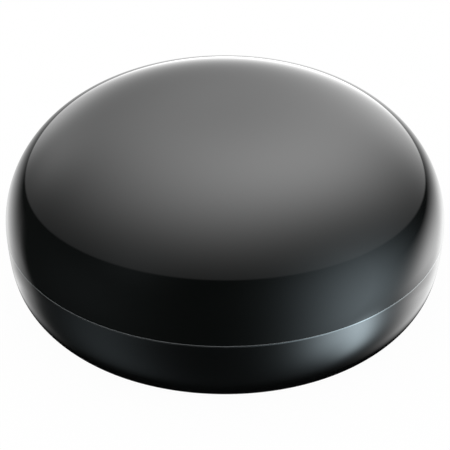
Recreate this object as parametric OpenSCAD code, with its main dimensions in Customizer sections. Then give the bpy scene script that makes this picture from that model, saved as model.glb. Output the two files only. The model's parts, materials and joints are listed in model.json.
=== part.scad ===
// Round infrared blaster: a low glossy dome on a tucked-in base, with a board, a ring of
// emitters, a receiver, a radio module, a power socket and a reset button inside.
// +Z is up, the front faces -Y, and the origin is the centre of the foot ring's underside.

/* [Body] */
// Diameter of the body at its parting seam
body_d = 66; // [64:1:76]
// Height of the dome above the seam
dome_h = 19.1; // [19:0.1:24]
// Height of the base below the seam
base_h = 10.3; // [10.3:0.1:13]
// Wall thickness of both shells
wall = 2; // [1.8:0.1:2.2]
// Thickness of the base's floor
floor_t = 1.8; // [1.6:0.1:2.2]
// Radius of the base's bottom edge
edge_r = 0.8; // [0.4:0.1:1]

/* [Seam] */
// Reveal between the two shells, seen as a thin line
seam_gap = 0.2; // [0.1:0.05:0.4]
// Bevel on both edges of the seam
seam_bevel = 0.1; // [0.05:0.05:0.2]
// Height of the base's lip inside the dome
lip_h = 1.5; // [1:0.1:2]
// Thickness of the lip
lip_t = 0.9; // [0.7:0.1:1]
// Clearance round the lip
lip_clearance = 0.1; // [0.05:0.05:0.2]

/* [Foot ring] */
// Width of the rubber ring
foot_w = 5.8; // [5.4:0.2:6]
// Thickness of the rubber ring
foot_t = 1.2; // [1:0.1:1.4]
// How far the ring stands below the base
foot_proud = 0.6; // [0.4:0.1:0.8]
// Clearance beside the ring in its groove
foot_clearance = 0.1; // [0.05:0.05:0.2]
// Diameter of the bare label recess inside the ring
recess_d = 38; // [30:1:42]
// Depth of the label recess
recess_t = 0.3; // [0.1:0.1:0.4]

/* [Case screws] */
// Distance of the screw posts' centres from the inner wall
post_inset = 5; // [4.8:0.1:5.4]
// Diameter of the base's screw posts
post_d = 6.6; // [6.2:0.1:7]
// Height of the posts above the floor
post_h = 5.6; // [5:0.1:6]
// Diameter of the dome's screw bosses
boss_d = 5.2; // [4.6:0.1:5.6]
// Diameter of the screw's shank
case_screw_d = 2.2; // [2:0.1:2.4]
// Diameter of the screw's head
case_head_d = 4.2; // [3.8:0.1:4.4]
// Height of the screw's head
case_head_h = 1.5; // [1.2:0.1:1.6]
// Length of the screw's shank
case_screw_l = 10; // [8:0.5:11]

/* [Power socket] */
// Width of the opening in the base
port_w = 11.4; // [11:0.1:12]
// Height of the opening in the base
port_h = 6.4; // [6:0.1:6.6]
// Corner radius of the opening
port_corner = 1.6; // [1:0.1:2]
// Width of the metal socket
socket_w = 7.5; // [7.2:0.1:7.8]
// Height of the metal socket
socket_h = 2.5; // [2.4:0.1:2.8]
// Depth of the metal socket
socket_l = 5.6; // [5.2:0.1:6]
// Thickness of the socket's sheet
socket_t = 0.3; // [0.25:0.05:0.35]

/* [Reset button] */
// Diameter of the button's cap
button_d = 4; // [3.6:0.1:4.2]
// How far the cap stands out of the base
button_proud = 0.5; // [0.4:0.1:0.8]
// Travel of the button and of the switch
button_travel = 0.3; // [0.2:0.05:0.35]
// Clearance round the cap
button_clearance = 0.1; // [0.05:0.05:0.2]
// Width of the switch
switch_w = 6; // [5.6:0.1:6.4]
// Height of the switch
switch_h = 3.4; // [3.2:0.1:3.8]
// Depth of the switch behind its front plate
switch_l = 3.4; // [3.2:0.1:3.8]

/* [Main board] */
// Gap between the board's edge and the inner wall
board_margin = 3.5; // [3.2:0.1:4]
// Thickness of the board
board_t = 1.2; // [1:0.1:1.6]
// Height of the standoffs under the board
board_lift = 1.8; // [1.7:0.1:2.2]
// Diameter of the standoffs
standoff_d = 5; // [4.6:0.1:5.4]
// Diameter of the board screws' shanks
board_screw_d = 1.7; // [1.6:0.1:1.9]
// Diameter of the board screws' heads
board_head_d = 3.6; // [3.4:0.1:3.8]
// Height of the board screws' heads
board_head_h = 1.3; // [1.1:0.1:1.5]
// Length of the board screws' shanks
board_screw_l = 3.8; // [3.4:0.1:4]

/* [Emitters] */
// Diameter of an emitter's lens
emitter_d = 5; // [4.8:0.1:5.2]
// Length of an emitter
emitter_l = 8.6; // [8.2:0.1:8.8]
// Gap between a side emitter's tip and the inner wall
emitter_gap = 2.4; // [2.2:0.1:3]
// Gap between the top emitter's tip and the dome
top_emitter_gap = 1; // [0.8:0.1:1.6]
// Height of the emitter holder's deck above the board
deck_lift = 4.4; // [4.2:0.1:4.8]
// Thickness of the holder's deck
deck_t = 1.2; // [1:0.1:1.4]

/* [Receiver and status light] */
// Width of the receiver
receiver_w = 6.4; // [6:0.1:6.6]
// Depth of the receiver
receiver_l = 4; // [3.6:0.1:4.2]
// Height of the receiver
receiver_h = 6.8; // [6.4:0.1:7.2]
// Diameter of the light pipe
pipe_d = 2; // [1.8:0.1:2.2]
// Length of the light pipe
pipe_l = 10.6; // [9:0.2:12]

/* [Radio module] */
// Length of the module's board
radio_l = 18; // [17.5:0.1:18.2]
// Width of the module's board
radio_w = 14.4; // [14:0.1:14.6]
// Thickness of the module's board
radio_t = 0.8; // [0.6:0.1:1]
// Height of the shield can
can_h = 2; // [1.8:0.1:2.4]

/* [Hidden] */
$fn = 64;

// Length by which a cut runs past the face it opens
overrun = 1;

// Exponents of the dome's profile, across and up, and of the base's profile
dome_round = 2.95;
dome_crown = 2;
base_round = 3.5;
// Share of its full curve that the base's wall follows before the flat bottom
tuck_share = 0.687;
// Straight bands along each curved profile
dome_bands = 40;
base_bands = 14;
edge_bands = 4;

// Main heights and radii
body_r = body_d / 2;
inner_r = body_r - wall;
base_z = foot_proud;
floor_z = base_z + floor_t;
seam_z = base_z + base_h;
top_z = seam_z + dome_h;
lip_top = seam_z + lip_h;
lip_r = inner_r + lip_t;
board_z = floor_z + board_lift;
board_top = board_z + board_t;
board_r = inner_r - board_margin;

// Case screws: four posts and bosses on one circle
post_angles = [45, 135, 225, 315];
post_circle = inner_r - post_inset;
post_top = floor_z + post_h;
head_sink = 0.2;
head_seat = base_z + foot_t - foot_proud + head_sink + case_head_h;
head_clearance = 0.1;
shank_clearance = 0.3;
pilot_clearance = 0.05;
pilot_spare = 1;
rib_t = 1.2;
rib_gap = 0.4;
drive_w = 0.6;
drive_share = 0.62;
drive_depth_share = 0.6;
tip_share = 0.15;

// Board screws: three standoffs
board_screw_angles = [112, 200, 340];
board_screw_inset = 5;
board_screw_circle = board_r - board_screw_inset;
notch_clearance = 0.4;

// Power socket at the back, whose mouth lies just inside the wall
mouth_setback = 1.1;
mouth_y = inner_r - mouth_setback;
socket_z = board_top + socket_h / 2;
socket_corner = 0.9;
socket_back_t = 1.2;
tongue_w = 3.8;
tongue_t = 0.6;
tongue_setback = 0.5;
tongue_gap = 0.05;
contact_w = 0.35;
contact_t = 0.12;
contact_pitch = 0.65;
contact_count = 5;
contact_tail = 1.1;
leg_w = 1.1;
leg_drop = 0.5;
leg_clearance = 0.15;
leg_back = 3;

// Reset button and side-push switch on one radius, turned away from the socket
button_angle = 68;
button_z = board_top + switch_h / 2;
button_flange_d = 5.6;
button_flange_t = 0.7;
button_flange_gap = 1.1;
button_flange_u = inner_r - button_flange_gap - button_flange_t;
button_edge = 0.25;
stem_d = 2.4;
plunger_d = 2;
plunger_l = 1.4;
plunger_flange_d = 3.2;
plunger_flange_t = 0.6;
plunger_gap = 0.05;
plunger_clearance = 0.1;
switch_pocket_d = 3.6;
switch_pocket_share = 0.55;
frame_t = 0.3;
frame_skirt = 1.4;
switch_setback = 4.2;
switch_front_u = button_flange_u - switch_setback;
dome_ring_d = 3;
dome_rise = 0.3;
dome_t = 0.12;
dome_seat_gap = 0.15;
terminal_w = 0.8;
terminal_t = 0.3;
terminal_l = 1.2;
terminal_pitch = 4.4;

// Emitters and their holder
emitter_angles = [0, 60, 120, 180, 240, 300];
emitter_r = emitter_d / 2;
flange_d = 5.8;
flange_t = 1;
flange_lift = 0.2;
deck_z = board_top + deck_lift;
deck_top = deck_z + deck_t;
emitter_z = deck_top + flange_lift + flange_d / 2;
emitter_back = inner_r - emitter_gap - emitter_l;
top_emitter_z = top_z - wall - top_emitter_gap - emitter_l;
lead_t = 0.5;
lead_pitch = 2.54;
lead_setback = 1.1;
lead_clearance = 0.2;
lead_drop = 1;
lead_circle = emitter_back - lead_setback;
hub_d = 7.8;
hub_bore_d = 4.2;
spoke_w = 3;
ring_in_share = 0.509;
ring_in_r = board_r * ring_in_share;
boss_gap = 0.8;
ring_out_r = post_circle - boss_d / 2 - boss_gap;
arm_w = 7;
arm_setback = 1.6;
saddle_setback = 2.4;
saddle_l = 3;
saddle_rise = 1.2;
saddle_clearance = 0.1;
saddle_mouth_share = 0.84;
leg_d = 3;
// Share of the free way between the radio module's corner and a post at which a leg stands
leg_share = 0.449;
leg_inner = (radio_l + leg_d) / sqrt(2);
leg_outer = post_circle - (post_d + leg_d) / 2;
leg_circle = leg_inner + (leg_outer - leg_inner) * leg_share;
pin_d = 1.6;
pin_clearance = 0.1;

// Radio module, in front of the top emitter's leads
radio_gap = 0.65;
radio_front = lead_t / 2 + radio_gap + radio_w;
radio_y = radio_w / 2 - radio_front;
// Room on the board between the module and the holder's outer edge
front_room = ring_out_r - radio_front;

// Receiver, standing behind the front wall
receiver_room_share = 0.226;
shield_t = 0.2;
shield_gap = 0.05;
receiver_y = -(radio_front + receiver_l / 2 + shield_gap + shield_t
    + front_room * receiver_room_share);
receiver_lift = 2;
receiver_lens_d = 4.4;
receiver_lens_share = 0.45;
receiver_z = board_top + receiver_lift;
notch_gap = 0.6;

// Status light and its pipe
light_gap = 2.8;
light_room_share = 0.562;
light_place = [-(receiver_w / 2 + light_gap), -(radio_front + front_room * light_room_share)];
light_size = [2, 1.25, 0.8];
pipe_gap = 0.3;
pipe_clearance = 0.1;
pipe_collar_d = 3.2;
pipe_collar_h = 1.6;
pipe_head_d = 3;
pipe_head_h = 0.8;

// Parts on the radio module
can_l = 11.6;
can_w = 12.4;
can_t = 0.2;
can_x = -2.7;
radio_chip_size = [5, 5, 0.9];
antenna_x = 4.4;
antenna_pitch = 1;
antenna_turns = 4;
antenna_span = 10;
antenna_w = 0.4;
antenna_t = 0.08;

// Small parts on the board, most of them at shares of its radius
regulator_shares = [0.2545, 0.269];
regulator_place = board_r * regulator_shares;
regulator_size = [6.5, 3.5, 1.6];
regulator_stand = 0.1;
regulator_lead = [0.7, 1.6, 0.25];
regulator_pitch = 2.3;
regulator_tab_w = 3;
capacitor_shares = [-0.2545, 0.2255];
capacitor_place = board_r * capacitor_shares;
capacitor_d = 6.3;
capacitor_h = 7.2;
capacitor_seat_size = [6.6, 6.6, 0.6];
capacitor_edge = 0.5;
chip_capacitor_size = [2, 1.25, 1.1];
chip_capacitor_shares = [[0.458, 0.189], [0.255, 0.451], [-0.167, 0.589]];
chip_regulator_gap = 0.55;
chip_radio_gap = 2.4;
chip_radio_share = -0.349;
// One stands beside the regulator, one beside the radio module and the others by themselves
chip_capacitor_places = concat([for (p = chip_capacitor_shares) board_r * p], [
    [regulator_place.x - (regulator_size.x + chip_capacitor_size.x) / 2 - chip_regulator_gap,
        regulator_place.y],
    [-(radio_l + chip_capacitor_size.x) / 2 - chip_radio_gap, board_r * chip_radio_share]]);
resistor_size = [1.6, 0.8, 0.5];
resistor_share = -0.473;
resistor_x = board_r * resistor_share;
resistor_first_y = -7.4;
resistor_pitch = 1.8;
resistor_count = 7;
transistor_size = [2.9, 1.4, 1];
transistor_shares = [[0.48, -0.153], [0.48, -0.291]];
diode_size = [4.2, 2.6, 2];
diode_share = 0.676;

// Half width of the dome's profile at a share of its full turn
function dome_point(r, h, a) =
    [r * pow(cos(a), 2 / dome_round), seam_z + h * pow(sin(a), 2 / dome_crown)];

// Radius of the base's profile at a depth below the seam
function base_r_at(r, depth) =
    r * pow(1 - pow(tuck_share * depth / base_h, base_round), 1 / base_round);

// Angle below the horizon that the base's outer wall faces at a depth
function base_tilt(depth) = atan2(
    pow(tuck_share * depth / base_h, base_round - 1) * tuck_share / base_h,
    pow(base_r_at(body_r, depth) / body_r, base_round - 1) / body_r);

// Angle on a dome profile at which it stands a given height above the seam
function dome_angle(h, rise) = asin(pow(rise / h, dome_crown / 2));

// Part of a dome profile, from one angle to another
function dome_curve(r, h, from, to) =
    [for (i = [0:dome_bands]) dome_point(r, h, from + (to - from) * i / dome_bands)];

// Part of a base profile, from one depth to another
function base_curve(r, from, to) = [for (i = [0:base_bands])
    let (depth = from + (to - from) * i / base_bands) [base_r_at(r, depth), seam_z - depth]];

// Bottom edge of the base: an arc from the wall's own tilt round to the flat underside
edge_tilt = base_tilt(base_h);
edge_start = base_h - edge_r * (1 - sin(edge_tilt));
edge_centre = base_r_at(body_r, edge_start) - edge_r * cos(edge_tilt);
function edge_curve() = [for (i = [0:edge_bands])
    let (a = edge_tilt + (90 - edge_tilt) * i / edge_bands)
    [edge_centre + edge_r * cos(a), base_z + edge_r * (1 - sin(a))]];

// A ring standing on the floor of its own frame
module ring(outer, inner, h) {
    difference() {
        cylinder(r = outer, h = h);
        translate([0, 0, -overrun]) cylinder(r = inner, h = h + 2 * overrun);
    }
}

// A block centred across and standing on the floor of its own frame
module block(size) {
    translate([-size.x / 2, -size.y / 2, 0]) cube(size);
}

// Children moved out along a radius and turned with it
module on_radius(angle, distance) {
    rotate([0, 0, angle]) translate([distance, 0, 0]) children();
}

// A round bar lying along +X
module bar(r, l) {
    rotate([0, 90, 0]) cylinder(r = r, h = l);
}

// A bar along +Y with rounded corners, centred across
module rounded_bar(w, h, corner, l) {
    translate([-w / 2 + corner, 0, -h / 2]) cube([w - 2 * corner, l, h]);
    translate([-w / 2, 0, -h / 2 + corner]) cube([w, l, h - 2 * corner]);
    for (x = [-1, 1], z = [-1, 1])
        translate([x * (w / 2 - corner), 0, z * (h / 2 - corner)])
            rotate([-90, 0, 0]) cylinder(r = corner, h = l);
}

// A cross-drive screw with its head below and its shank rising from the origin
module screw(head_d, head_h, shank_d, shank_l) {
    drive = head_d * drive_share;
    difference() {
        translate([0, 0, -head_h]) cylinder(d = head_d, h = head_h);
        for (turn = [0, 90]) rotate([0, 0, turn])
            translate([-drive / 2, -drive_w / 2, -head_h - overrun])
                cube([drive, drive_w, overrun + head_h * drive_depth_share]);
    }
    cylinder(d = shank_d, h = shank_l * (1 - tip_share));
    translate([0, 0, shank_l * (1 - tip_share)])
        cylinder(d1 = shank_d, d2 = shank_d / 2, h = shank_l * tip_share);
}

// The solid dome inside which the screw bosses stand
module boss_space() {
    r = body_r - wall / 2;
    h = dome_h - wall / 2;
    rotate_extrude() polygon(concat([[0, post_top], [r, post_top]], dome_curve(r, h, 0, 90)));
}

module upper_shell() {
    inner_h = dome_h - wall;
    outer_start = dome_angle(dome_h, seam_gap / 2 + seam_bevel);
    inner_start = dome_angle(inner_h, lip_h);
    skirt_r = lip_r + lip_clearance;
    outline = concat(
        [[skirt_r, seam_z + seam_gap / 2], [body_r - seam_bevel, seam_z + seam_gap / 2]],
        dome_curve(body_r, dome_h, outer_start, 90),
        dome_curve(inner_r, inner_h, 90, inner_start),
        [[skirt_r, lip_top]]);
    color([0.05, 0.055, 0.055]) difference() {
        union() {
            rotate_extrude() polygon(outline);
            intersection() {
                boss_space();
                for (a = post_angles) on_radius(a, post_circle)
                    boss_with_rib();
            }
        }
        for (a = post_angles) on_radius(a, post_circle)
            translate([0, 0, post_top - overrun]) cylinder(
                r = case_screw_d / 2 + pilot_clearance,
                h = overrun + head_seat + case_screw_l + pilot_spare - post_top);
    }
}

// One of the dome's bosses, tall enough to run into the dome
module boss_with_rib() {
    translate([0, 0, post_top]) cylinder(d = boss_d, h = top_z - post_top);
    translate([0, -rib_t / 2, post_top]) cube([post_inset - rib_gap, rib_t, top_z - post_top]);
}

module lower_shell() {
    rim_z = seam_gap / 2;
    outline = concat(
        [[0, base_z]], [for (p = [edge_bands:-1:0]) edge_curve()[p]],
        base_curve(body_r, edge_start, rim_z + seam_bevel),
        [[body_r - seam_bevel, seam_z - rim_z], [lip_r, seam_z - rim_z], [lip_r, lip_top],
            [inner_r, lip_top]],
        base_curve(inner_r, 0, base_h - floor_t), [[0, floor_z]]);
    color([0.045, 0.05, 0.055]) difference() {
        union() {
            rotate_extrude() polygon(outline);
            for (a = post_angles) on_radius(a, post_circle) base_post();
            for (a = board_screw_angles) on_radius(a, board_screw_circle)
                translate([0, 0, base_z + floor_t / 2])
                    cylinder(d = standoff_d, h = board_lift + floor_t / 2);
        }
        foot_groove();
        translate([0, 0, base_z - overrun]) cylinder(d = recess_d, h = overrun + recess_t);
        for (a = post_angles) on_radius(a, post_circle) case_screw_hole();
        for (a = board_screw_angles) on_radius(a, board_screw_circle)
            translate([0, 0, board_top - board_screw_l - head_sink])
                cylinder(r = board_screw_d / 2 + pilot_clearance, h = board_screw_l + overrun);
        translate([0, mouth_y - overrun, socket_z])
            rounded_bar(port_w, port_h, port_corner, 2 * overrun + wall + mouth_setback);
        on_radius(button_angle, button_flange_u) translate([0, 0, button_z])
            bar(button_d / 2 + button_clearance, body_r);
    }
}

// Post in the base that carries one case screw, braced against the wall
module base_post() {
    foot = base_z + floor_t / 2;
    translate([0, 0, foot]) cylinder(d = post_d, h = post_top - foot);
    translate([0, -rib_t / 2, foot]) cube([post_inset - rib_gap, rib_t, post_top - foot]);
}

module foot_groove() {
    translate([0, 0, base_z - overrun]) ring(
        post_circle + foot_w / 2 + foot_clearance,
        post_circle - foot_w / 2 - foot_clearance,
        overrun + foot_t - foot_proud);
}

// Counterbore for the head and a free hole for the shank
module case_screw_hole() {
    translate([0, 0, base_z])
        cylinder(r = case_head_d / 2 + head_clearance, h = head_seat - base_z);
    translate([0, 0, base_z])
        cylinder(d = case_screw_d + shank_clearance, h = post_top - base_z + overrun);
}

module foot_ring() {
    color([0.07, 0.07, 0.07])
        ring(post_circle + foot_w / 2, post_circle - foot_w / 2, foot_t);
}

module case_screws() {
    color([0.62, 0.62, 0.62]) for (a = post_angles) on_radius(a, post_circle)
        translate([0, 0, head_seat]) screw(case_head_d, case_head_h, case_screw_d, case_screw_l);
}

module main_board() {
    color([0.05, 0.19, 0.12]) difference() {
        translate([0, 0, board_z]) cylinder(r = board_r, h = board_t);
        translate([0, 0, board_z - overrun]) {
            for (a = post_angles) on_radius(a, post_circle)
                cylinder(d = post_d + 2 * notch_clearance, h = board_t + 2 * overrun);
            for (a = board_screw_angles) on_radius(a, board_screw_circle)
                cylinder(d = board_screw_d + shank_clearance, h = board_t + 2 * overrun);
            for (a = post_angles) on_radius(a, leg_circle)
                cylinder(r = pin_d / 2 + pin_clearance, h = board_t + 2 * overrun);
            lead_holes();
            for (x = [-1, 1]) translate([x * (socket_w - socket_t) / 2, mouth_y - leg_back, 0])
                block([socket_t + 2 * leg_clearance, leg_w + 2 * leg_clearance,
                    board_t + 2 * overrun]);
        }
    }
}

// Holes for every wire lead that goes through the board
module lead_holes() {
    hole_r = lead_t / 2 + lead_clearance;
    for (side = [-1, 1]) {
        for (a = emitter_angles) on_radius(a, lead_circle)
            translate([0, side * lead_pitch / 2, 0])
                cylinder(r = hole_r, h = board_t + 2 * overrun);
        translate([side * lead_pitch / 2, 0, 0]) cylinder(r = hole_r, h = board_t + 2 * overrun);
    }
    for (i = [-1:1]) translate([i * receiver_pitch(), receiver_y, 0])
        cylinder(r = hole_r, h = board_t + 2 * overrun);
}

function receiver_pitch() = receiver_w / 3;

module board_screws() {
    color([0.65, 0.65, 0.65]) for (a = board_screw_angles) on_radius(a, board_screw_circle)
        translate([0, 0, board_top]) mirror([0, 0, 1])
            screw(board_head_d, board_head_h, board_screw_d, board_screw_l);
}

module emitter_holder() {
    color([0.09, 0.09, 0.1]) difference() {
        union() {
            translate([0, 0, deck_z]) ring(ring_out_r, ring_in_r, deck_t);
            translate([0, 0, deck_z]) cylinder(d = hub_d, h = top_emitter_z - deck_z);
            for (a = [0, 90, 180, 270]) rotate([0, 0, a])
                translate([0, -spoke_w / 2, deck_z])
                    cube([(ring_in_r + ring_out_r) / 2, spoke_w, deck_t]);
            for (a = emitter_angles) on_radius(a, emitter_back) saddle();
            for (a = post_angles) on_radius(a, leg_circle) holder_leg();
            translate([light_place.x, light_place.y, deck_z])
                cylinder(d = pipe_collar_d, h = deck_t + pipe_collar_h);
        }
        translate([0, 0, deck_z - overrun])
            cylinder(d = hub_bore_d, h = top_emitter_z - deck_z + 2 * overrun);
        for (a = emitter_angles) on_radius(a, lead_circle) translate([0, 0, deck_z - overrun])
            block([lead_t + 2 * lead_clearance, lead_pitch + lead_t + 2 * lead_clearance,
                deck_t + 2 * overrun]);
        translate([0, receiver_y - (ring_out_r - ring_in_r) / 2, deck_z - overrun])
            block([receiver_w + 2 * notch_gap,
                receiver_l + 2 * notch_gap + ring_out_r - ring_in_r, deck_t + 2 * overrun]);
        translate([light_place.x, light_place.y, deck_z - overrun])
            cylinder(r = pipe_d / 2 + pipe_clearance, h = deck_t + pipe_collar_h + 2 * overrun);
    }
}

// Arm and open clip that carry one side emitter, measured from the emitter's back
module saddle() {
    clip_h = emitter_z + saddle_rise - deck_top;
    mouth_w = emitter_d * saddle_mouth_share;
    translate([arm_setback, -arm_w / 2, deck_z])
        cube([saddle_setback + saddle_l - arm_setback, arm_w, deck_t]);
    difference() {
        translate([saddle_setback, -arm_w / 2, deck_top]) cube([saddle_l, arm_w, clip_h]);
        translate([saddle_setback - overrun, 0, emitter_z])
            bar(emitter_r + saddle_clearance, saddle_l + 2 * overrun);
        translate([saddle_setback - overrun, -mouth_w / 2, emitter_z])
            cube([saddle_l + 2 * overrun, mouth_w, emitter_d]);
    }
}

// Leg that stands on the board, with a pin through it
module holder_leg() {
    translate([0, 0, board_top]) cylinder(d = leg_d, h = deck_lift + deck_t / 2);
    translate([0, 0, board_z]) cylinder(d = pin_d, h = board_t + deck_lift);
}

// An emitter standing on its flange, with a round tip
module emitter() {
    cylinder(d = flange_d, h = flange_t);
    cylinder(r = emitter_r, h = emitter_l - emitter_r);
    translate([0, 0, emitter_l - emitter_r]) intersection() {
        sphere(r = emitter_r);
        cylinder(r = emitter_d, h = emitter_d);
    }
}

module side_emitter(number) {
    color([0.16, 0.14, 0.2]) on_radius(emitter_angles[number - 1], emitter_back)
        translate([0, 0, emitter_z]) rotate([0, 90, 0]) emitter();
}

module top_emitter() {
    color([0.16, 0.14, 0.2]) translate([0, 0, top_emitter_z]) emitter();
}

// Bent leads of the side emitters and straight leads of the top one
module emitter_leads() {
    foot = board_z - lead_drop;
    color([0.75, 0.75, 0.76]) for (side = [-1, 1]) {
        for (a = emitter_angles) on_radius(a, lead_circle)
            translate([0, side * lead_pitch / 2, 0]) {
                translate([0, 0, foot]) block([lead_t, lead_t, emitter_z + lead_t / 2 - foot]);
                translate([0, -lead_t / 2, emitter_z - lead_t / 2])
                    cube([lead_setback, lead_t, lead_t]);
            }
        translate([side * lead_pitch / 2, 0, foot])
            block([lead_t, lead_t, top_emitter_z - foot]);
    }
}

module receiver_body() {
    color([0.08, 0.07, 0.1]) translate([0, receiver_y, receiver_z]) {
        block([receiver_w, receiver_l, receiver_h]);
        translate([0, -receiver_l / 2, receiver_h / 2]) intersection() {
            sphere(d = receiver_lens_d);
            translate([0, -receiver_lens_d * receiver_lens_share, -receiver_lens_d / 2])
                block([receiver_lens_d, receiver_lens_d, receiver_lens_d]);
        }
    }
}

// Folded metal shield round the receiver's back, sides and top
module receiver_shield() {
    inside_w = receiver_w + 2 * shield_gap;
    color([0.7, 0.7, 0.7]) translate([0, receiver_y, receiver_z]) difference() {
        translate([0, shield_t / 2 + shield_gap / 2, 0]) block([inside_w + 2 * shield_t,
            receiver_l + shield_t + shield_gap, receiver_h + shield_gap + shield_t]);
        translate([0, -overrun / 2 + shield_gap / 2, -overrun]) block([inside_w,
            receiver_l + shield_gap + overrun, receiver_h + shield_gap + overrun]);
    }
}

module receiver_leads() {
    foot = board_z - lead_drop;
    color([0.75, 0.75, 0.76]) for (i = [-1:1])
        translate([i * receiver_pitch(), receiver_y, foot])
            block([lead_t, lead_t, receiver_z - foot]);
}

module status_light() {
    color([0.85, 0.87, 0.9]) translate([light_place.x, light_place.y, board_top])
        block(light_size);
}

module light_pipe() {
    collar_top = deck_top + pipe_collar_h;
    color([0.8, 0.85, 0.88]) translate([light_place.x, light_place.y, 0]) {
        translate([0, 0, board_top + light_size.z + pipe_gap]) cylinder(d = pipe_d, h = pipe_l);
        translate([0, 0, collar_top]) cylinder(d = pipe_head_d, h = pipe_head_h);
    }
}

module radio_board() {
    color([0.06, 0.1, 0.2]) translate([0, radio_y, board_top])
        block([radio_l, radio_w, radio_t]);
}

module radio_shield() {
    color([0.74, 0.74, 0.73]) translate([can_x, radio_y, board_top + radio_t]) difference() {
        block([can_l, can_w, can_h]);
        translate([0, 0, -overrun])
            block([can_l - 2 * can_t, can_w - 2 * can_t, can_h - can_t + overrun]);
    }
}

module radio_chip() {
    color([0.06, 0.06, 0.06]) translate([can_x, radio_y, board_top + radio_t])
        block(radio_chip_size);
}

// Folded trace of the antenna: long runs joined at alternate ends
module radio_antenna() {
    color([0.8, 0.62, 0.3]) translate([antenna_x, radio_y, board_top + radio_t]) {
        for (i = [0:antenna_turns]) translate([i * antenna_pitch, 0, 0])
            block([antenna_w, antenna_span, antenna_t]);
        for (i = [0:antenna_turns - 1])
            translate([(i + 1 / 2) * antenna_pitch,
                (i % 2 * 2 - 1) * (antenna_span - antenna_w) / 2, 0])
                block([antenna_pitch + antenna_w, antenna_w, antenna_t]);
    }
}

// Outline of the socket, flat on top with cut lower corners
module socket_outline(w, h, corner) {
    polygon([[-w / 2, h / 2], [w / 2, h / 2], [w / 2, -h / 2 + corner],
        [w / 2 - corner, -h / 2], [-w / 2 + corner, -h / 2], [-w / 2, -h / 2 + corner]]);
}

// Children drawn in XZ and run back along -Y from the socket's mouth
module from_mouth(l) {
    translate([0, mouth_y, socket_z]) rotate([90, 0, 0]) linear_extrude(height = l) children();
}

module socket_shell() {
    inside_w = socket_w - 2 * socket_t;
    inside_h = socket_h - 2 * socket_t;
    color([0.72, 0.72, 0.73]) {
        difference() {
            from_mouth(socket_l) socket_outline(socket_w, socket_h, socket_corner);
            translate([0, overrun, 0]) from_mouth(socket_l + 2 * overrun)
                socket_outline(inside_w, inside_h, socket_corner - socket_t / 2);
        }
        for (x = [-1, 1])
            translate([x * (socket_w - socket_t) / 2, mouth_y - leg_back, board_z - leg_drop])
                block([socket_t, leg_w, socket_z - board_z + leg_drop]);
    }
}

module socket_tongue() {
    plug_w = socket_w - 2 * socket_t - 2 * tongue_gap;
    plug_h = socket_h - 2 * socket_t - 2 * tongue_gap;
    color([0.07, 0.07, 0.07]) {
        translate([0, socket_back_t - socket_l, 0]) from_mouth(socket_back_t)
            socket_outline(plug_w, plug_h, socket_corner - socket_t / 2);
        translate([0, mouth_y - socket_l, socket_z + plug_h / 2 - tongue_t - contact_t])
            translate([-tongue_w / 2, 0, 0])
                cube([tongue_w, socket_l - tongue_setback, tongue_t]);
    }
}

// Contact strips under the tongue, each with a tail behind the socket
module socket_contacts() {
    plug_h = socket_h - 2 * socket_t - 2 * tongue_gap;
    strip_z = socket_z + plug_h / 2 - tongue_t - 2 * contact_t;
    strip_l = socket_l - socket_back_t - 2 * tongue_setback;
    color([0.85, 0.68, 0.35]) for (i = [0:contact_count - 1])
        translate([(i - (contact_count - 1) / 2) * contact_pitch, 0, 0]) {
            translate([-contact_w / 2, mouth_y - 2 * tongue_setback - strip_l, strip_z])
                cube([contact_w, strip_l, contact_t]);
            translate([-contact_w / 2, mouth_y - socket_l - contact_tail, board_top])
                cube([contact_w, contact_tail, contact_t]);
        }
}

// Children placed on the button's axis, with +X pointing out of the base
module on_button_axis(distance) {
    on_radius(button_angle, distance) translate([0, 0, button_z]) children();
}

module reset_button() {
    face_u = base_r_at(body_r, seam_z - button_z) + button_proud;
    tip_u = switch_front_u + frame_t + plunger_l;
    color([0.06, 0.065, 0.07]) {
        on_button_axis(button_flange_u) bar(button_d / 2, face_u - button_flange_u - button_edge);
        on_button_axis(face_u - button_edge) rotate([0, 90, 0])
            cylinder(r1 = button_d / 2, r2 = button_d / 2 - button_edge, h = button_edge);
        on_button_axis(button_flange_u) bar(button_flange_d / 2, button_flange_t);
        on_button_axis(tip_u) bar(stem_d / 2, button_flange_u - tip_u);
    }
}

module switch_body() {
    pocket_l = switch_l * switch_pocket_share;
    color([0.1, 0.1, 0.1]) difference() {
        on_radius(button_angle, switch_front_u - switch_l)
            translate([0, -switch_w / 2, board_top]) cube([switch_l, switch_w, switch_h]);
        on_button_axis(switch_front_u - pocket_l)
            bar(switch_pocket_d / 2, pocket_l + overrun);
    }
}

// Sheet-metal front plate of the switch, with a skirt folded back over its top
module switch_frame() {
    color([0.73, 0.73, 0.73]) difference() {
        on_radius(button_angle, switch_front_u) union() {
            translate([0, -switch_w / 2, board_top]) cube([frame_t, switch_w, switch_h + frame_t]);
            translate([-frame_skirt, -switch_w / 2, board_top + switch_h])
                cube([frame_skirt + frame_t, switch_w, frame_t]);
        }
        on_button_axis(switch_front_u - overrun)
            bar(plunger_d / 2 + plunger_clearance, frame_t + 2 * overrun);
    }
}

// Thin snap dome seated at the bottom of the switch's pocket
module switch_dome() {
    color([0.78, 0.77, 0.74])
        on_button_axis(switch_front_u - switch_l * switch_pocket_share) rotate([0, 90, 0])
            difference() {
                cylinder(d1 = dome_ring_d, d2 = dome_ring_d / 2, h = dome_rise);
                translate([0, 0, -dome_t])
                    cylinder(d1 = dome_ring_d, d2 = dome_ring_d / 2 - dome_t, h = dome_rise);
            }
}

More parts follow.
